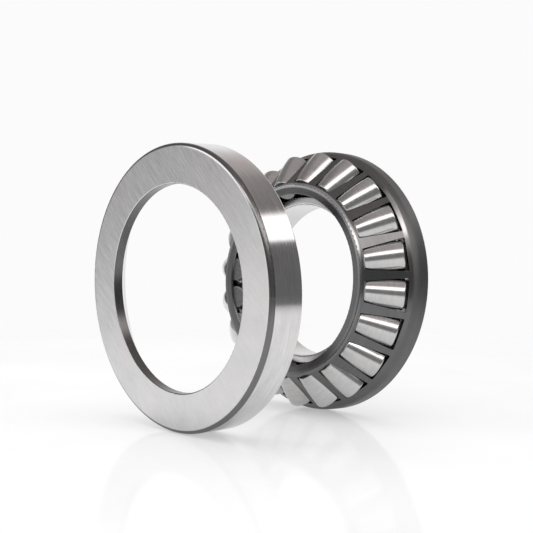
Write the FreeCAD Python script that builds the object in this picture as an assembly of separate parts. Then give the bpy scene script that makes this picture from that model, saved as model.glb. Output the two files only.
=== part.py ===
import FreeCAD, Part
import math
import os

# Spherical roller thrust bearing, shown taken apart as it is handled on a bench.
# The housing washer stands on its rim. Behind it stands the unit of shaft washer, cage and rollers,
# which stays together because the cage is turned in behind the shaft washer's flange.
# All sizes are in millimetres and angles are in degrees.
# Origin: on the housing washer's axis, halfway along its width. +Y is that axis, from the washer's
# back face towards the unit. +Z is up.

# Boundary sizes of the assembled bearing
bore_diameter = 120.0
outside_diameter = 210.0
bearing_height = 54.0

# Housing washer
housing_washer_width = 28.4
housing_washer_bore_diameter = 151.6
housing_back_outer_round = 3.3
housing_back_bore_round = 0.8
housing_front_outer_round = 1.2
housing_raceway_edge_round = 0.5

# Raceway geometry. The outer raceway is a sphere about the pressure centre on the bearing's axis,
# and each roller's outer profile is an arc about the same point.
pressure_centre_height = 74.2
raceway_clearance = 0.2

# Rollers. Heights in the unit are measured from the shaft washer's rear face towards the small ends.
roller_count = 20
roller_length = 30.2
roller_middle_diameter = 22.4
roller_slope = 44.8
roller_pitch_radius = 83.3
roller_middle_height = 27.05
roller_small_end_round = 0.9
roller_large_end_round = 1.1
roller_large_end_crown = 0.4
first_roller_angle = 14.1

# Shaft washer
shaft_washer_width = 31.6
shaft_washer_outside_diameter = 202.0
flange_width = 12.4
flange_clearance = 0.1
shaft_bore_round = 1.5
flange_rear_round = 0.6
flange_step_round = 0.4
flange_outer_round = 3.5
flange_front_round = 0.8
nose_round = 0.4
relief_depth = 0.7
relief_width = 2.2

# Cage, pressed from one sheet and punched with one window for each roller
cage_sheet = 2.4
cage_height = 45.2
cage_hole_diameter = 135.2
cage_slope = 49.15
cage_flange_clearance = 0.4
cage_lip_reach = 2.0
cage_rear_recess = 0.3
cage_rear_round = 0.8
cage_stand_off = 5.65
cage_edge_round = 0.6
cage_nose_bend = 1.4
cage_rim_bend = 8.0
pocket_clearance = 0.35
window_small_side_clearance = 1.8
window_large_side_clearance = 2.3
window_small_end_clearance = 0.9
window_large_end_clearance = 2.0
window_corner_round = 1.2

# How the two standing pieces are set out
washer_spacing = 162.0
unit_side_offset = -6.0
unit_turn = 1.93
unit_lean = 3.74


def vector(x, y, z):
    return FreeCAD.Vector(x, y, z)


# Values that follow from the sizes above

outside_radius = outside_diameter / 2
bore_radius = bore_diameter / 2
flange_radius = shaft_washer_outside_diameter / 2
collar_inner_radius = flange_radius + cage_flange_clearance
collar_outer_radius = collar_inner_radius + cage_sheet
lip_radius = collar_inner_radius - cage_lip_reach
lip_front_height = cage_rear_recess + cage_sheet
slope = math.radians(roller_slope)
half_length = roller_length / 2

# Roller axis and its normal in the section plane, as (radius, height) pairs. The axis points to the
# large end. The normal points out of the cage, to the housing washer.
axis_r = math.cos(slope)
axis_h = -math.sin(slope)
normal_r = math.sin(slope)
normal_h = math.cos(slope)

# The pressure centre seen from the middle of a roller. It lies behind the rear face.
centre_dr = -roller_pitch_radius
centre_dh = -pressure_centre_height - roller_middle_height
centre_along = centre_dr * axis_r + centre_dh * axis_h
centre_deep = -(centre_dr * normal_r + centre_dh * normal_h)
profile_radius = math.hypot(roller_middle_diameter / 2 + centre_deep, centre_along)


def roller_radius(along):
    """Radius of a roller at a distance from its middle, positive to the large end."""
    return math.sqrt(profile_radius ** 2 - (along - centre_along) ** 2) - centre_deep


def on_roller(along, across):
    """A point of the section plane, from a distance along a roller and a distance across it."""
    radius = roller_pitch_radius + along * axis_r + across * normal_r
    height = roller_middle_height + along * axis_h + across * normal_h
    return radius, height


def profile_face(corners):
    """Closed face in the XZ plane. A corner is (radius, height, round) or, where the edge that
    leaves it is an arc, (radius, height, 0, (radius, height) of a point on that arc)."""
    joints = []
    count = len(corners)
    for index in range(count):
        before = corners[index - 1]
        corner = corners[index]
        after = corners[(index + 1) % count]
        point = vector(corner[0], 0, corner[1])
        if corner[2] == 0:
            joints.append((point, None, point))
            continue
        to_before = vector(before[0], 0, before[1]).sub(point)
        to_after = vector(after[0], 0, after[1]).sub(point)
        to_before.normalize()
        to_after.normalize()
        half_angle = to_before.getAngle(to_after) / 2
        reach = corner[2] / math.tan(half_angle)
        bisector = to_before.add(to_after)
        bisector.normalize()
        depth = corner[2] / math.sin(half_angle) - corner[2]
        start = point.add(to_before * reach)
        middle = point.add(bisector * depth)
        finish = point.add(to_after * reach)
        joints.append((start, middle, finish))
    edges = []
    for index in range(count):
        start, middle, finish = joints[index]
        next_start = joints[(index + 1) % count][0]
        if middle is not None:
            edges.append(Part.Arc(start, middle, finish).toShape())
        if len(corners[index]) > 3:
            through = corners[index][3]
            edges.append(Part.Arc(finish, vector(through[0], 0, through[1]), next_start).toShape())
        elif finish.distanceToPoint(next_start) > 0.000001:
            edges.append(Part.LineSegment(finish, next_start).toShape())
    return Part.Face(Part.Wire(edges))


def turned(corners):
    """Solid of revolution about the Z axis."""
    return profile_face(corners).revolve(vector(0, 0, 0), vector(0, 0, 1), 360)


def round_circles(solid, height, size):
    """Rounds the outermost circular edge that lies at a height."""
    found = []
    for edge in solid.Edges:
        box = edge.BoundBox
        if abs(box.ZMin - height) < 0.001 and abs(box.ZMax - height) < 0.001:
            found.append(edge)
    widest = max(edge.BoundBox.XMax for edge in found)
    chosen = [edge for edge in found if edge.BoundBox.XMax > widest - 0.01]
    return solid.makeFillet(size, chosen)


# Housing washer

def make_housing_washer():
    """Turned ring whose inside is a spherical raceway that opens towards the rollers.
    Height 0 is the back face, which seats in the housing."""
    inner = housing_washer_bore_diameter / 2
    ring = turned([
        (inner, 0, housing_back_bore_round),
        (outside_radius, 0, housing_back_outer_round),
        (outside_radius, housing_washer_width, housing_front_outer_round),
        (inner, housing_washer_width, 0),
    ])
    centre_height = bearing_height + pressure_centre_height
    sphere_radius = profile_radius + raceway_clearance
    ball = Part.makeSphere(sphere_radius, vector(0, 0, centre_height))
    washer = ring.cut(ball)
    rim_height = centre_height - housing_washer_width
    rim_radius = math.sqrt(sphere_radius ** 2 - rim_height ** 2)
    rim = []
    for edge in washer.Edges:
        box = edge.BoundBox
        flat = abs(box.ZMin - housing_washer_width) < 0.001 and abs(box.ZMax - housing_washer_width) < 0.001
        if flat and abs(box.XMax - rim_radius) < 0.01:
            rim.append(edge)
    return washer.makeFillet(housing_raceway_edge_round, rim)


# Shaft washer

def inner_raceway(along, clearance):
    """A point of the shaft washer's raceway, which mirrors the roller's outer profile."""
    across = math.sqrt((profile_radius + clearance) ** 2 - (along - centre_along) ** 2) - centre_deep
    return on_roller(along, -across)


def raceway_end():
    """Distance along the roller at which the inner raceway reaches the nose face."""
    low = -half_length - roller_middle_diameter
    high = 0.0
    for step in range(60):
        middle = (low + high) / 2
        if inner_raceway(middle, raceway_clearance)[1] > shaft_washer_width:
            low = middle
        else:
            high = middle
    return high


def make_shaft_washer():
    """Turned ring with the inner raceway on its front and a flange that guides the large ends.
    A step behind the flange holds the cage's lip. Height 0 is the rear face, which seats on the
    shaft's shoulder."""
    step_radius = lip_radius - cage_flange_clearance
    step_height = lip_front_height + cage_flange_clearance
    face_along = half_length + roller_large_end_crown + flange_clearance
    relief_along = half_length - relief_width
    relief_across = -(roller_radius(half_length) + raceway_clearance + relief_depth)
    flange_across = (flange_width - roller_middle_height - face_along * axis_h) / normal_h
    flange_edge = on_roller(face_along, flange_across)
    relief_foot = on_roller(face_along, relief_across)
    relief_start = on_roller(relief_along, relief_across)
    raceway_start = inner_raceway(relief_along, raceway_clearance)
    nose_along = raceway_end()
    raceway_middle = inner_raceway((relief_along + nose_along) / 2, raceway_clearance)
    nose_corner = inner_raceway(nose_along, raceway_clearance)
    washer = turned([
        (bore_radius, 0, shaft_bore_round),
        (step_radius, 0, flange_rear_round),
        (step_radius, step_height, 0),
        (flange_radius, step_height, flange_step_round),
        (flange_radius, flange_width, flange_outer_round),
        (flange_edge[0], flange_edge[1], flange_front_round),
        (relief_foot[0], relief_foot[1], 0),
        (relief_start[0], relief_start[1], 0),
        (raceway_start[0], raceway_start[1], 0, raceway_middle),
        (nose_corner[0], nose_corner[1], 0),
        (bore_radius, shaft_washer_width, shaft_bore_round),
    ])
    return round_circles(washer, shaft_washer_width, nose_round)


# Rollers

def make_roller(growth):
    """Barrel-shaped roller along Z with its middle at the origin and its large end up.
    Growth adds a clearance all round, for the pocket that the roller runs in."""
    small = roller_radius(-half_length) + growth
    large = roller_radius(half_length) + growth
    middle = roller_radius(0) + growth
    end = half_length + growth
    crown = (0.5 * large, end + 0.75 * roller_large_end_crown)
    solid = turned([
        (0, -end, 0),
        (small, -end, 0, (middle, 0)),
        (large, end, 0, crown),
        (0, end + roller_large_end_crown, 0),
    ])
    if growth > 0:
        return solid
    solid = round_circles(solid, -half_length, roller_small_end_round)
    return round_circles(solid, half_length, roller_large_end_round)


def at_roller(shape, index):
    """Moves a shape from the roller's own place to one of the places round the unit."""
    copy = shape.copy()
    copy.rotate(vector(0, 0, 0), vector(0, 1, 0), 90 + roller_slope)
    copy.translate(vector(roller_pitch_radius, 0, roller_middle_height))
    copy.rotate(vector(0, 0, 0), vector(0, 0, 1), first_roller_angle + index * 360.0 / roller_count)
    return copy


# Cage

cage_angle = math.radians(cage_slope)
sheet_r = math.cos(cage_angle)
sheet_h = -math.sin(cage_angle)
sheet_out_r = math.sin(cage_angle)
sheet_out_h = math.cos(cage_angle)

# The point of the cage's outer surface straight out from the middle of a roller
sheet_point_r = roller_pitch_radius + cage_stand_off * sheet_out_r
sheet_point_h = roller_middle_height + cage_stand_off * sheet_out_h


def cone_height(radius, depth):
    """Height of the cage's cone at a radius, at a depth under its outer surface."""
    drop = (radius - sheet_point_r) * math.tan(cage_angle)
    return sheet_point_h - drop - depth / sheet_out_h


def cone_radius(height, depth):
    """Radius of the cage's cone at a height, at a depth under its outer surface."""
    drop = (height - sheet_point_h + depth / sheet_out_h) / math.tan(cage_angle)
    return sheet_point_r - drop


def window_half_width(along, clearance):
    """Half of a window's width where a roller's end shows through the sheet, with a clearance."""
    end_r, end_h = on_roller(along, 0)
    depth = (end_r - sheet_point_r) * sheet_out_r + (end_h - sheet_point_h) * sheet_out_h
    shown = math.sqrt(roller_radius(along) ** 2 - depth ** 2)
    return shown + clearance


def make_window_cutter():
    """Tapered block for one window, at the first place round the unit."""
    small_r, small_h = on_roller(-half_length, 0)
    large_r, large_h = on_roller(half_length + roller_large_end_crown, 0)
    small_along = (small_r - sheet_point_r) * sheet_r + (small_h - sheet_point_h) * sheet_h
    large_along = (large_r - sheet_point_r) * sheet_r + (large_h - sheet_point_h) * sheet_h
    start = small_along - window_small_end_clearance
    finish = large_along + window_large_end_clearance
    narrow = window_half_width(-half_length, window_small_side_clearance)
    wide = window_half_width(half_length, window_large_side_clearance)
    outline = profile_face([
        (start, -narrow, window_corner_round),
        (finish, -wide, window_corner_round),
        (finish, wide, window_corner_round),
        (start, narrow, window_corner_round),
    ])
    # The block is three sheets thick, so that it stands out by one sheet on both sides
    block = outline.extrude(vector(0, 1, 0) * (3 * cage_sheet))
    block.translate(vector(0, -cage_sheet, 0))
    # The outline's X runs along the sheet, its Y through the sheet and its Z round the unit
    turn = FreeCAD.Matrix()
    turn.A11 = sheet_r
    turn.A12 = -sheet_out_r
    turn.A13 = 0
    turn.A21 = 0
    turn.A22 = 0
    turn.A23 = 1
    turn.A31 = sheet_h
    turn.A32 = -sheet_out_h
    turn.A33 = 0
    block.transformShape(turn)
    block.translate(vector(sheet_point_r, 0, sheet_point_h))
    return block


def make_cage():
    """Pressed cone with an inward collar at the small ends. Its rim bends back round the shaft
    washer's flange and ends in a lip that is turned in behind it."""
    hole = cage_hole_diameter / 2
    under = cage_height - cage_sheet
    sheet = turned([
        (hole, cage_height, cage_edge_round),
        (hole, under, cage_edge_round),
        (cone_radius(under, cage_sheet), under, cage_edge_round),
        (collar_inner_radius, cone_height(collar_inner_radius, cage_sheet), cage_rim_bend - cage_sheet),
        (collar_inner_radius, lip_front_height, 0),
        (lip_radius, lip_front_height, cage_edge_round),
        (lip_radius, cage_rear_recess, cage_edge_round),
        (collar_outer_radius, cage_rear_recess, cage_rear_round),
        (collar_outer_radius, cone_height(collar_outer_radius, 0), cage_rim_bend),
        (cone_radius(cage_height, 0), cage_height, cage_nose_bend),
    ])
    window = make_window_cutter()
    pocket = make_roller(pocket_clearance)
    pocket.rotate(vector(0, 0, 0), vector(0, 1, 0), 90 + roller_slope)
    pocket.translate(vector(roller_pitch_radius, 0, roller_middle_height))
    cutters = []
    for index in range(roller_count):
        angle = first_roller_angle + index * 360.0 / roller_count
        for tool in (window, pocket):
            copy = tool.copy()
            copy.rotate(vector(0, 0, 0), vector(0, 0, 1), angle)
            cutters.append(copy)
    return sheet.cut(cutters)


# Placing

def unit_centre_height():
    """Height of the rear face's centre over the housing washer's axis, with both rims on one floor."""
    lean = math.radians(unit_lean)
    radius = collar_outer_radius - cage_rear_round
    height = cage_rear_recess + cage_rear_round
    lowest = radius * math.cos(lean) + cage_rear_round - height * math.sin(lean)
    return lowest - outside_radius


def place_unit(shape):
    """Stands the unit on the cage's rear rim, a little turned and leaned back, behind the housing
    washer."""
    shape.rotate(vector(0, 0, 0), vector(1, 0, 0), 90 - unit_lean)
    shape.rotate(vector(0, 0, 0), vector(0, 0, 1), unit_turn)
    rear = washer_spacing - housing_washer_width / 2
    shape.translate(vector(unit_side_offset, rear, unit_centre_height()))
    return shape


def place_housing_washer(shape):
    """Stands the housing washer on its rim, back face towards -Y."""
    shape.translate(vector(0, 0, -housing_washer_width / 2))
    shape.rotate(vector(0, 0, 0), vector(1, 0, 0), -90)
    return shape


def save(shape, name):
    solid = shape
    if len(shape.Solids) == 1:
        solid = shape.Solids[0]
    print(name, "solids", len(shape.Solids), "valid", shape.isValid(), "volume", round(shape.Volume, 1))
    solid.exportStep(os.path.join("parts", name + ".step"))


os.makedirs("parts", exist_ok=True)
print("raceway radius", round(profile_radius, 2))
print("roller end diameters", round(2 * roller_radius(-half_length), 2), round(2 * roller_radius(half_length), 2))
print("unit centre height", round(unit_centre_height(), 4))
save(place_housing_washer(make_housing_washer()), "housing_washer")
save(place_unit(make_shaft_washer()), "shaft_washer")
save(place_unit(make_cage()), "cage")
roller = make_roller(0)
for number in range(roller_count):
    save(place_unit(at_roller(roller, number)), "roller_" + str(number + 1).zfill(2))
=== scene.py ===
import bpy
import math
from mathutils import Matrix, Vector

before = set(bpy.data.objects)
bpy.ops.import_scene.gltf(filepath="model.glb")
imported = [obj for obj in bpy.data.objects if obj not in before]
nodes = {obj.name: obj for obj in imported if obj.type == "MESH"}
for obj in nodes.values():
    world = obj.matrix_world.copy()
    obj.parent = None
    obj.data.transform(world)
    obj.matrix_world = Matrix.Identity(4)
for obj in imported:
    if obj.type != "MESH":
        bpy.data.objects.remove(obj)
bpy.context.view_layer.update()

# Where the photographer stood, in metres in the part's own frame
CAMERA_PLACE = (0.6848, -0.5354, 0.0624)
CAMERA_AHEAD = (-0.7465, 0.6654)
CAMERA_PITCH = math.radians(3.09)
CAMERA_LENS = 80.6
CAMERA_NEAR = 0.01
SENSOR_WIDTH = 36.0
# The photograph's right-hand and forward directions, level with the floor
RIGHT = (0.6654, 0.7465, 0.0)
AHEAD = (-0.7465, 0.6654, 0.0)

# The table top, a hair's breadth under the two rims
FLOOR = -0.105
FLOOR_GAP = 0.0002
FLOOR_SIZE = 5.0
FLOOR_CLOUD, FLOOR_GREYS = (0.3, 0.7), (0.60, 0.64)
FLOOR_GLOW = 0.45
# Distances from the middle, in metres: the shade under the washer, the end on the right, the fade
SHADE_REACH, SHADE = (0.03, 0.12), 0.55
END_REACH, END_LIGHT = (0.60, 0.68), 0.2
FADE_REACH = (0.35, 0.9)
# The reflection that the camera sees on it
SHEEN_ROUGHNESS, SHEEN_IOR, SHEEN = 0.09, 1.25, 0.55

# The studio that the steel shows. A direction's parts to the right, ahead and up run from -1 to 1.
# The pairs of them say where one thing gives way to the next, and a light of 1 is white.
ROOM_RISE, ROOM_LIGHTS = (0.60, 0.95), (0.165, 0.48)
SIDE_BOX, SIDE_BOX_SOFT, SIDE_BOX_LIGHT = (0.475, 0.635), 0.035, 1.9
LEFT_START = (-0.2, -0.6)
LEFT_WALL_RISE, LEFT_WALL_LIGHTS = (0.1, 0.6), (0.44, 0.27)
LEFT_TABLE_TOP, LEFT_TABLE_TILT, LEFT_TABLE_EDGE, LEFT_TABLE_LIGHT = 0.050, 0.5, (-0.07, 0.05), 1.12
BEHIND_START = (-0.3, -0.6)
BEHIND_RISE, BEHIND_LIGHTS = (0.5, 0.8), (0.25, 0.42)
KEY_BOTTOM, KEY_TOP, KEY_LIGHT = (0.42, 0.56), (0.66, 0.86), 3.0
SMALL_BOX_WAY, SMALL_BOX_EDGE, SMALL_BOX_LIGHT = (-0.575, -0.720, 0.390), (0.955, 0.985), 1.5
BACKDROP_START = (0.46, 0.64)
BACKDROP_RISE, BACKDROP_LIGHTS = (0.3, 0.85), (1.0, 0.38)
DIM_LEFT, DIM_FOOT, DIM_LIGHT = (-0.12, -0.42), (-0.03, 0.06), 0.30
WHITE_TOP, WHITE_LEFT, WHITE_START, WHITE = (0.3, 0.5), (-0.42, -0.12), (0.65, 0.85), 0.965
WARM_RISE, WARM_TINT = (0.35, 0.7), (1.05, 0.978, 0.955)
PLAIN_LIGHT = 0.72

# Soft lamps that shadows and plain light come from: name, place, aim, size and power
LAMPS = (
    ("over", (0.1, 0.0, 1.3), (0, 0.05, 0), 1.6, 6.0),
    ("left", (-0.9, -1.0, 0.9), (0, 0.05, 0), 0.9, 3.0),
)

# The housing washer's surfaces, in metres from its middle: y runs from its back face inwards
BACK_FACE = (-0.01418, -0.01410)
BACK_ROUND, BACK_ROUND_SOFT, BACK_ROUND_RADIUS = (-0.01412, -0.0106), 0.00006, (0.1022, 0.1026)
BORE_LAND, BORE_LAND_SOFT, BORE_LAND_RADIUS = (-0.0139, -0.00655), 0.0002, (0.07606, 0.0763)
RIM_RADIUS = (0.1046, 0.1048)
# Directions across its face, as the photograph shows it: the grinding strokes run along STROKES
STROKES, OVER_STROKES, UPPER_LEFT = (0.707, 0.0, -0.707), (0.707, 0.0, 0.707), (-0.707, 0.0, 0.707)
# The side on which the edge's painted darkening starts further out to leave a painted highlight line,
# where that starts and is full, and its width
EDGE_GLINT_WAY, EDGE_GLINT_FADE, EDGE_GLINT_WIDTH = (0.5, 0.0, 0.866), (0.80, 0.95), 0.0011

# The roller unit: the middle of its rear face, its axis towards the small ends, and two directions
# across that axis, from which the rollers' places are counted
UNIT_PLACE = (-0.006, 0.1478, -0.001491)
UNIT_FRONT = (0.03360676, -0.99730425, 0.06522897)
UNIT_SIDE = (0.99943271, 0.03367873, 0.0)
UNIT_UP = (-0.00219680, 0.06519197, 0.99787031)
REAR_FACE = (0.00002, 0.00008)
FIRST_ROLLER = math.radians(14.1)
ROLLER_STEP = math.radians(18.0)
ROLLER_PITCH = 0.0833
ROLLER_HEIGHT = 0.02705
ROLLER_SLOPE = math.radians(44.8)
ROLLER_END = (0.01495, 0.01505)
# The cage's bends at the nose and between cone and rim, by radius and height in the unit
CAGE_RIM = (0.1006, 0.1022)
NOSE_BEND, NOSE_BEND_SOFT, NOSE_BEND_HEIGHT = (0.0732, 0.0770), 0.0008, (0.0432, 0.0444)
RIM_BEND, RIM_BEND_SOFT = (0.0996, 0.1010), 0.0007
# The side on which the second bend gets a painted highlight, and where that starts and is full
RIM_GLINT_WAY, RIM_GLINT_REACH = (0.829, 0.559, 0.0), (0.970, 0.993)

# How much light each steel gives back, and the share of it that is left where the washer's rounded edge (a
# painted dark reflection) and bore land are painted darker, on the rollers' ends, and on the cage's cone
# and rim
WASHER_STEEL, SHAFT_WASHER_STEEL, ROLLER_STEEL, CAGE_STEEL = 0.645, 0.62, 0.54, 0.172
EDGE_AND_LAND_DARKENING, ROLLER_END_DULL, CONE_DULL, RIM_DULL = 0.27, 0.55, 0.83, 0.84
# Roughness: the washer's rim and face, the shaft washer, the rollers' sides and ends, the cage's
# cone and rim
RIM_ROUGH, FACE_ROUGH, SHAFT_WASHER_ROUGH = 0.12, 0.24, 0.20
ROLLER_ROUGH, ROLLER_END_ROUGH = 0.20, 0.28
CONE_ROUGH, CAGE_RIM_ROUGH = 0.22, 0.48
PLAIN = (1.0, 1.0, 1.0)
# How deep the fine lines are, in metres
LINE_DEPTH = 0.00002
SHEET_DEPTH = 0.00003


class Tree:
    """Small helper that adds shader nodes and links them."""

    def __init__(self, owner):
        owner.use_nodes = True
        self.tree = owner.node_tree
        self.tree.nodes.clear()

    def add(self, kind, **values):
        node = self.tree.nodes.new(kind)
        for name, value in values.items():
            setattr(node, name, value)
        return node

    def put(self, value, socket):
        if isinstance(value, bpy.types.NodeSocket):
            self.tree.links.new(value, socket)
        else:
            socket.default_value = value

    def place(self, kind):
        return self.add("ShaderNodeTexCoord").outputs[kind]

    def math(self, operation, a, b=0.0, c=0.0):
        node = self.add("ShaderNodeMath", operation=operation)
        for socket, value in zip(node.inputs, (a, b, c)):
            self.put(value, socket)
        return node.outputs[0]

    def times(self, a, b):
        return self.math("MULTIPLY", a, b)

    def vector(self, operation, a, b=(0, 0, 0)):
        node = self.add("ShaderNodeVectorMath", operation=operation)
        self.put(a, node.inputs[0])
        if operation == "SCALE":
            self.put(b, node.inputs["Scale"])
        elif operation != "LENGTH":
            self.put(b, node.inputs[1])
        single = operation in ("DOT_PRODUCT", "LENGTH")
        return node.outputs["Value" if single else "Vector"]

    def towards(self, vector, direction):
        """How far a vector reaches in a direction."""
        return self.vector("DOT_PRODUCT", vector, direction)

    def step(self, value, low, high, start=0.0, finish=1.0):
        """Smooth change from start to finish as value goes from low to high."""
        node = self.add("ShaderNodeMapRange", interpolation_type="SMOOTHSTEP", clamp=True)
        for socket, part in zip(node.inputs, (value, low, high, start, finish)):
            self.put(part, socket)
        return node.outputs[0]

    def until(self, value, low, high):
        """1 below low, 0 above high."""
        return self.step(value, low, high, 1.0, 0.0)

    def band(self, value, low, high, soft):
        """1 between low and high, 0 outside."""
        return self.times(self.step(value, low - soft, low), self.until(value, high, high + soft))

    def noise(self, vector, scale, detail, roughness=0.5):
        node = self.add("ShaderNodeTexNoise")
        self.put(vector, node.inputs["Vector"])
        node.inputs["Scale"].default_value = scale
        node.inputs["Detail"].default_value = detail
        node.inputs["Roughness"].default_value = roughness
        return node.outputs[0]

    def lines(self, across, fineness, along, breaks, seed, detail, roughness=0.5):
        """Noise drawn out into lines: so many to a metre across, and so many breaks along."""
        stretched = self.combine(self.times(across, fineness), self.times(along, breaks), seed)
        return self.noise(stretched, 1.0, detail, roughness)

    def vary(self, value, noise, amount):
        """A value that a noise raises and lowers by up to half the amount."""
        return self.math("MULTIPLY_ADD", self.math("SUBTRACT", noise, 0.5), amount, value)

    def mix(self, factor, a, b):
        """Blend of two values."""
        node = self.add("ShaderNodeMix", data_type="FLOAT")
        self.put(factor, node.inputs["Factor"])
        self.put(a, node.inputs[2])
        self.put(b, node.inputs[3])
        return node.outputs[0]

    def blend(self, factor, a, b):
        """Blend of two colours."""
        node = self.add("ShaderNodeMix", data_type="RGBA")
        self.put(factor, node.inputs["Factor"])
        self.put(rgba(a), node.inputs[6])
        self.put(rgba(b), node.inputs[7])
        return node.outputs[2]

    def combine(self, x, y, z):
        node = self.add("ShaderNodeCombineXYZ")
        for socket, value in zip(node.inputs, (x, y, z)):
            self.put(value, socket)
        return node.outputs[0]

    def separate(self, vector):
        node = self.add("ShaderNodeSeparateXYZ")
        self.put(vector, node.inputs[0])
        return node.outputs

    def shade(self, factor, first, second):
        """Blend of two shaders."""
        node = self.add("ShaderNodeMixShader")
        self.put(factor, node.inputs[0])
        self.put(first, node.inputs[1])
        self.put(second, node.inputs[2])
        return node.outputs[0]

    def metal(self, tint, value, roughness, height, strength, distance):
        """Bare metal of a tint times a value, with fine relief."""
        bump = self.add("ShaderNodeBump")
        bump.inputs["Strength"].default_value = strength
        bump.inputs["Distance"].default_value = distance
        self.put(height, bump.inputs["Height"])
        shader = self.add("ShaderNodeBsdfPrincipled")
        shader.inputs["Metallic"].default_value = 1.0
        self.put(self.vector("SCALE", tint, value), shader.inputs["Base Color"])
        self.put(roughness, shader.inputs["Roughness"])
        self.put(bump.outputs[0], shader.inputs["Normal"])
        self.put(shader.outputs[0], self.add("ShaderNodeOutputMaterial").inputs[0])


def rgba(colour):
    return (*colour, 1.0)


def make_world():
    """White ahead, for the camera and in reflections. Round it is the studio that the steel shows:
    a dark room on the right and behind the camera with soft boxes above it, and a duller wall on
    the left that is bright below eye level."""
    world = bpy.data.worlds.new("studio")
    bpy.context.scene.world = world
    t = Tree(world)
    way = t.place("Generated")
    right = t.towards(way, RIGHT)
    ahead = t.towards(way, AHEAD)
    up = t.separate(way)[2]
    path = t.add("ShaderNodeLightPath").outputs

    side_box = t.band(up, *SIDE_BOX, SIDE_BOX_SOFT)
    value = t.mix(side_box, t.step(up, *ROOM_RISE, *ROOM_LIGHTS), SIDE_BOX_LIGHT)

    # The bright table on the left lies a little lower towards the background
    over_table = t.math("MULTIPLY_ADD", ahead, LEFT_TABLE_TILT, t.math("SUBTRACT", up, LEFT_TABLE_TOP))
    left_wall = t.step(up, *LEFT_WALL_RISE, *LEFT_WALL_LIGHTS)
    left = t.mix(t.step(over_table, *LEFT_TABLE_EDGE), LEFT_TABLE_LIGHT, left_wall)
    value = t.mix(t.step(right, *LEFT_START), value, left)

    key = t.times(t.step(up, *KEY_BOTTOM), t.until(up, *KEY_TOP))
    behind = t.mix(key, t.step(up, *BEHIND_RISE, *BEHIND_LIGHTS), KEY_LIGHT)
    value = t.mix(t.step(ahead, *BEHIND_START), value, behind)

    # A small soft box on the left gives the washer's edge its bright line
    small_box = t.step(t.towards(way, SMALL_BOX_WAY), *SMALL_BOX_EDGE)
    value = t.mix(small_box, value, SMALL_BOX_LIGHT)

    # The backdrop is white behind the bearing and dimmer high up and far to the left
    dim = t.times(t.step(right, *DIM_LEFT), t.step(up, *DIM_FOOT))
    backdrop = t.mix(dim, t.step(up, *BACKDROP_RISE, *BACKDROP_LIGHTS), DIM_LIGHT)
    value = t.mix(t.step(ahead, *BACKDROP_START), value, backdrop)

    studio = t.add("ShaderNodeBackground")
    t.put(t.mix(path["Is Glossy Ray"], PLAIN_LIGHT, value), studio.inputs["Strength"])
    warm = t.times(t.step(up, *WARM_RISE), path["Is Glossy Ray"])
    t.put(t.blend(warm, PLAIN, WARM_TINT), studio.inputs["Color"])

    white = t.add("ShaderNodeBackground")
    white.inputs["Color"].default_value = rgba((WHITE, WHITE, WHITE))
    straight_ahead = t.times(t.until(up, *WHITE_TOP), t.step(right, *WHITE_LEFT))
    straight_ahead = t.times(straight_ahead, t.step(ahead, *WHITE_START))
    reflected = t.times(path["Is Glossy Ray"], straight_ahead)
    seen = t.math("MAXIMUM", path["Is Transmission Ray"], reflected)
    seen = t.math("MAXIMUM", path["Is Camera Ray"], seen)
    t.put(t.shade(seen, studio.outputs[0], white.outputs[0]), t.add("ShaderNodeOutputWorld").inputs[0])


def make_floor():
    """Pale polished table top. It keeps the bearing's soft shadow and a faint reflection, melts into
    the white background, and ends on the right, where the steel shows the dark room."""
    bpy.ops.mesh.primitive_plane_add(size=FLOOR_SIZE, location=(0, 0, FLOOR - FLOOR_GAP))
    floor = bpy.context.object
    floor.name = "floor"
    material = bpy.data.materials.new("floor")
    t = Tree(material)
    place = t.place("Object")
    reach = t.vector("LENGTH", place)
    path = t.add("ShaderNodeLightPath").outputs
    seen = t.math("MAXIMUM", path["Is Camera Ray"], path["Is Glossy Ray"])

    paint = t.add("ShaderNodeBsdfDiffuse")
    cloud = t.noise(place, 6.0, 3.0)
    t.put(t.step(cloud, *FLOOR_CLOUD, *FLOOR_GREYS), paint.inputs["Color"])
    # The steel shows the washer's own shade on the table, close to where it stands
    shade = t.mix(path["Is Glossy Ray"], 1.0, t.step(reach, *SHADE_REACH, SHADE, 1.0))
    glow = t.add("ShaderNodeEmission")
    t.put(t.times(t.times(seen, shade), FLOOR_GLOW), glow.inputs["Strength"])
    body = t.add("ShaderNodeAddShader")
    t.put(paint.outputs[0], body.inputs[0])
    t.put(glow.outputs[0], body.inputs[1])

    room = t.add("ShaderNodeEmission")
    room.inputs["Strength"].default_value = END_LIGHT
    past_end = t.times(path["Is Glossy Ray"], t.step(t.towards(place, RIGHT), *END_REACH))
    surface = t.shade(past_end, body.outputs[0], room.outputs[0])

    gloss = t.add("ShaderNodeBsdfGlossy")
    gloss.inputs["Roughness"].default_value = SHEEN_ROUGHNESS
    fresnel = t.add("ShaderNodeFresnel")
    fresnel.inputs["IOR"].default_value = SHEEN_IOR
    sheen = t.times(fresnel.outputs[0], t.times(path["Is Camera Ray"], SHEEN))
    surface = t.shade(sheen, surface, gloss.outputs[0])

    fade = t.times(t.step(reach, *FADE_REACH), seen)
    surface = t.shade(fade, surface, t.add("ShaderNodeBsdfTransparent").outputs[0])
    t.put(surface, t.add("ShaderNodeOutputMaterial").inputs[0])
    floor.data.materials.append(material)


def look_along(direction):
    return direction.to_track_quat("-Z", "Y").to_euler()


def make_lamps():
    """Big soft lamps, dim enough that pale surfaces don't clip. The steel doesn't show them."""
    for name, place, aim, size, power in LAMPS:
        lamp = bpy.data.lights.new(name, "AREA")
        lamp.shape = "SQUARE"
        lamp.size = size
        lamp.energy = power
        thing = bpy.data.objects.new(name, lamp)
        bpy.context.scene.collection.objects.link(thing)
        thing.location = place
        thing.rotation_euler = look_along(Vector(aim) - Vector(place))
        thing.visible_camera = False
        thing.visible_glossy = False


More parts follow.
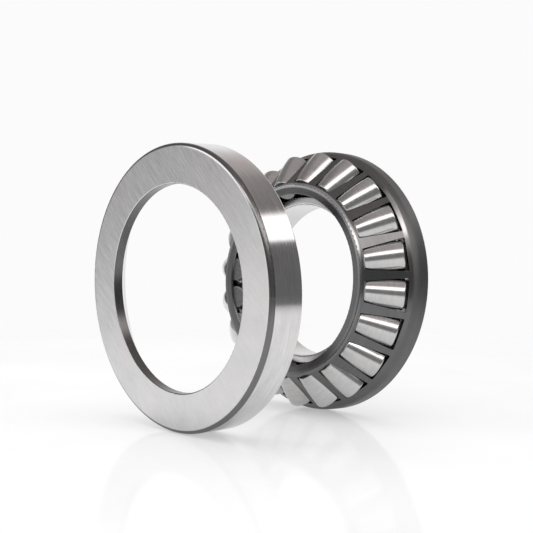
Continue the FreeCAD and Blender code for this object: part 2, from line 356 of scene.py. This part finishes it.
def make_camera():
    camera = bpy.data.cameras.new("camera")
    camera.lens = CAMERA_LENS
    camera.sensor_width = SENSOR_WIDTH
    camera.clip_start = CAMERA_NEAR
    thing = bpy.data.objects.new("camera", camera)
    bpy.context.scene.collection.objects.link(thing)
    thing.location = CAMERA_PLACE
    level = math.cos(CAMERA_PITCH)
    thing.rotation_euler = look_along(
        Vector((CAMERA_AHEAD[0] * level, CAMERA_AHEAD[1] * level, -math.sin(CAMERA_PITCH))))
    bpy.context.scene.camera = thing


def start_material(name):
    material = bpy.data.materials.new(name)
    t = Tree(material)
    return material, t, t.place("Object")


def washer_steel():
    """Housing washer. The back face is ground in straight parallel strokes, the rim is ground and the
    raceway honed round the axis. The rounded edge is painted darker as a painted dark reflection, with a
    painted highlight line at the upper right, and the bore's land is painted darker too."""
    material, t, place = start_material("washer_steel")
    x, y, z = t.separate(place)
    radius = t.vector("LENGTH", t.combine(x, 0.0, z))
    angle = t.math("ARCTAN2", x, z)
    face = t.until(y, *BACK_FACE)
    # Painted highlight: at the upper right the edge's painted darkening starts further out, leaving a
    # bright line along its inner side
    upper_right = t.math("DIVIDE", t.towards(place, EDGE_GLINT_WAY), radius)
    glint_shifted_radius = t.math("SUBTRACT", radius, t.step(upper_right, *EDGE_GLINT_FADE, 0.0, EDGE_GLINT_WIDTH))
    edge = t.times(t.band(y, *BACK_ROUND, BACK_ROUND_SOFT), t.step(glint_shifted_radius, *BACK_ROUND_RADIUS))
    land = t.times(t.band(y, *BORE_LAND, BORE_LAND_SOFT), t.until(radius, *BORE_LAND_RADIUS))

    # Straight grinding strokes, fine ones over broad ones, strongest at the upper left
    across = t.towards(place, OVER_STROKES)
    along = t.towards(place, STROKES)
    fine = t.lines(across, 2600.0, along, 70.0, 0.0, 3.0)
    broad = t.lines(across, 820.0, along, 44.0, 3.0, 3.0, 0.65)
    upper_left = t.towards(place, UPPER_LEFT)
    patch = t.math("ADD", upper_left, t.math("MULTIPLY_ADD", t.noise(place, 22.0, 3.0), 0.12, -0.06))
    strokes = t.vary(0.5, t.mix(0.7, fine, broad), t.step(patch, -0.05, 0.07, 0.4, 1.2))
    # Turned and honed lines round the axis
    depth = t.math("ADD", y, t.times(radius, t.until(radius, *RIM_RADIUS)))
    ring = t.lines(depth, 900.0, angle, 2.5, 0.0, 5.0, 0.7)
    lines = t.mix(face, ring, strokes)
    streak = t.lines(y, 150.0, angle, 5.0, 8.0, 3.0, 0.6)
    cloud = t.noise(place, 38.0, 5.0, 0.65)
    stain = t.noise(place, 14.0, 3.0, 0.6)
    speck = t.noise(place, 900.0, 2.0)

    value = t.vary(WASHER_STEEL, lines, t.mix(face, 0.34, 0.50))
    value = t.vary(value, streak, t.mix(face, 0.16, 0.0))
    value = t.vary(value, cloud, 0.14)
    value = t.vary(value, speck, 0.06)
    # Painted dark reflection on the rounded edge, and a darker band painted on the bore's land
    value = t.times(value, t.mix(edge, 1.0, EDGE_AND_LAND_DARKENING))
    value = t.times(value, t.mix(land, 1.0, EDGE_AND_LAND_DARKENING))
    tint = t.blend(t.step(stain, 0.40, 0.62), (0.995, 0.995, 1.0), (1.01, 0.98, 0.985))
    rough = t.vary(t.mix(face, RIM_ROUGH, FACE_ROUGH), lines, 0.10)
    rough = t.math("ADD", rough, t.times(t.math("MAXIMUM", edge, land), 0.14))
    t.metal(tint, value, rough, lines, 0.35, LINE_DEPTH)
    return material


def unit_places(t, place):
    """Two directions across the roller unit's axis, and the radius and height in it."""
    local = t.vector("SUBTRACT", place, UNIT_PLACE)
    height = t.towards(local, UNIT_FRONT)
    side = t.towards(local, UNIT_SIDE)
    rise = t.towards(local, UNIT_UP)
    radius = t.vector("LENGTH", t.combine(side, rise, 0.0))
    return side, rise, radius, height


def shaft_washer_steel():
    """Shaft washer: bore, seats and raceway honed round the axis, rear face ground in straight strokes."""
    material, t, place = start_material("shaft_washer_steel")
    side, rise, radius, height = unit_places(t, place)
    angle = t.math("ARCTAN2", side, rise)
    rear = t.until(height, *REAR_FACE)
    ring = t.lines(t.math("ADD", height, radius), 2800.0, angle, 2.2, 0.0, 3.0)
    strokes = t.lines(side, 900.0, rise, 40.0, 5.0, 5.0, 0.7)
    lines = t.mix(rear, ring, strokes)
    cloud = t.noise(place, 30.0, 4.0, 0.6)
    value = t.vary(SHAFT_WASHER_STEEL, lines, t.mix(rear, 0.24, 0.42))
    value = t.vary(value, cloud, 0.10)
    tint = t.blend(t.step(cloud, 0.40, 0.65), PLAIN, (1.01, 0.98, 0.975))
    t.metal(tint, value, t.vary(SHAFT_WASHER_ROUGH, lines, 0.10), lines, 0.3, LINE_DEPTH)
    return material


def roller_steel():
    """Rollers: finely ground round their own axes, with turned and ground ends."""
    material, t, place = start_material("roller_steel")
    side, rise, radius, height = unit_places(t, place)
    # The nearest roller's number, and the place along, across and round its own axis
    angle = t.math("ARCTAN2", rise, side)
    count = t.math("ROUND", t.math("DIVIDE", t.math("SUBTRACT", angle, FIRST_ROLLER), ROLLER_STEP))
    middle = t.math("MULTIPLY_ADD", count, ROLLER_STEP, FIRST_ROLLER)
    aside = t.math("SUBTRACT", angle, middle)
    out = t.math("SUBTRACT", t.times(radius, t.math("COSINE", aside)), ROLLER_PITCH)
    round_it = t.times(radius, t.math("SINE", aside))
    over = t.math("SUBTRACT", height, ROLLER_HEIGHT)
    cosine, sine = math.cos(ROLLER_SLOPE), math.sin(ROLLER_SLOPE)
    along = t.math("ADD", t.times(out, cosine), t.times(over, -sine))
    across = t.math("ADD", t.times(out, sine), t.times(over, cosine))
    reach = t.vector("LENGTH", t.combine(across, round_it, 0.0))
    turn = t.math("ARCTAN2", across, round_it)

    end = t.step(t.math("ABSOLUTE", along), *ROLLER_END)
    seed = t.times(count, 7.3)
    ring = t.lines(t.mix(end, along, reach), 1000.0, turn, 1.6, seed, 5.0, 0.7)
    cloud = t.noise(place, 60.0, 4.0, 0.6)
    lot = t.noise(t.combine(seed, 0.0, 0.0), 1.0, 0.0)
    value = t.vary(ROLLER_STEEL, ring, 0.28)
    value = t.vary(value, cloud, 0.12)
    value = t.vary(value, lot, 0.08)
    value = t.times(value, t.mix(end, 1.0, ROLLER_END_DULL))
    rough = t.vary(t.mix(end, ROLLER_ROUGH, ROLLER_END_ROUGH), ring, 0.08)
    tint = t.blend(t.step(cloud, 0.42, 0.65), PLAIN, (1.01, 0.985, 0.975))
    t.metal(tint, value, rough, ring, 0.3, LINE_DEPTH)
    return material


def cage_steel():
    """Cage: dark satin pressed sheet, mottled by its phosphate coat, with faint drawing lines."""
    material, t, place = start_material("cage_steel")
    side, rise, radius, height = unit_places(t, place)
    angle = t.math("ARCTAN2", side, rise)
    rim = t.step(radius, *CAGE_RIM)
    stretched = t.combine(t.times(angle, 3.0), t.times(height, 700.0), t.times(radius, 700.0))
    drawn = t.noise(stretched, 1.0, 2.0)
    grain = t.noise(place, 2400.0, 3.0, 0.6)
    cloud = t.noise(place, 55.0, 4.0, 0.6)
    value = t.vary(CAGE_STEEL, drawn, 0.05)
    value = t.vary(value, grain, 0.06)
    value = t.vary(value, cloud, 0.05)
    value = t.times(value, t.mix(rim, CONE_DULL, RIM_DULL))
    # Painted highlight on the bend round the nose, strongest at the top
    nose_highlight = t.times(t.band(radius, *NOSE_BEND, NOSE_BEND_SOFT), t.step(height, *NOSE_BEND_HEIGHT))
    nose_highlight = t.times(nose_highlight, t.step(rise, 0.0, 0.05, 0.12, 1.0))
    # And a painted highlight on one stretch of the bend between the cone and the rim
    toward = t.math("DIVIDE", t.towards(t.combine(side, rise, 0.0), RIM_GLINT_WAY), radius)
    shoulder_highlight = t.times(t.band(radius, *RIM_BEND, RIM_BEND_SOFT), t.step(toward, *RIM_GLINT_REACH))
    # Both painted highlights lighten the cage's colour
    painted_highlight = t.math("MULTIPLY_ADD", shoulder_highlight, 0.75, nose_highlight)
    value = t.math("MULTIPLY_ADD", painted_highlight, 0.36, value)
    tint = t.blend(t.step(cloud, 0.4, 0.6), (0.98, 0.99, 1.02), (1.0, 0.99, 0.99))
    rough = t.vary(t.mix(rim, CONE_ROUGH, CAGE_RIM_ROUGH), grain, 0.16)
    t.metal(tint, value, rough, t.mix(0.4, grain, drawn), 0.3, SHEET_DEPTH)
    return material


def dress(names, material):
    for name in names:
        for slot in nodes[name].material_slots:
            slot.material = material


make_camera()
make_world()
make_floor()
make_lamps()
dress(["housing_washer"], washer_steel())
dress(["shaft_washer"], shaft_washer_steel())
dress(["cage"], cage_steel())
dress([name for name in nodes if name.startswith("roller_")], roller_steel())

bpy.context.scene.view_settings.view_transform = "Standard"
